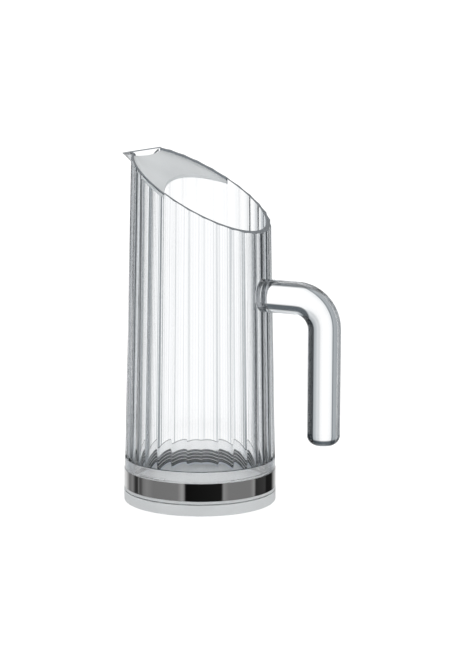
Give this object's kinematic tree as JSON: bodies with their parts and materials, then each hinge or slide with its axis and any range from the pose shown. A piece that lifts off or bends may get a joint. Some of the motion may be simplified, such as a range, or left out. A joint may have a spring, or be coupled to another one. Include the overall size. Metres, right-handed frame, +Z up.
{
  "type": "water pitcher",
  "caption": "Clear fluted water pitcher with a slanted mouth, pouring spout, frosted ice guard, rod handle and a screw-on base with a polished metal band.",
  "frame": {"origin": "on the table, at the middle of the foot's flat underside, on the tube's axis", "axes": "+Z up along the tube, +X towards the handle, -X towards the spout, +Y across"},
  "size_m": [0.1699, 0.108, 0.2476],
  "materials": {
    "clear_acrylic": "clear, polished, water-white acrylic",
    "frosted_acrylic": "frosted translucent acrylic, fine matt surface",
    "polished_metal": "mirror-polished stainless steel strip",
    "seal_silicone": "translucent food-grade silicone",
    "clear_cement": "clear acrylic cement, set hard"
  },
  "bodies": {
    "base": {"foot": "frosted_acrylic", "base_cup": "clear_acrylic", "metal_band": "polished_metal"},
    "seal": {"seal_ring": "seal_silicone"},
    "pitcher": {"fluted_body": "clear_acrylic", "ice_guard": "frosted_acrylic", "handle": "clear_acrylic", "handle_bond": "clear_cement"}
  },
  "joints": [
    {"name": "tube_lift", "type": "slide", "parent": "base", "child": "seal", "axis": [0, 0, 1], "range_m": [0, 0.0101]},
    {"name": "tube_unscrew", "type": "hinge", "parent": "seal", "child": "pitcher", "pos_m": [0, 0, 0], "axis": [0, 0, 1], "range_deg": [0, 1440]}
  ],
  "couplings": [
    {"joint": "tube_lift", "follows": "tube_unscrew", "m_per_rad": 0.00039789}
  ]
}
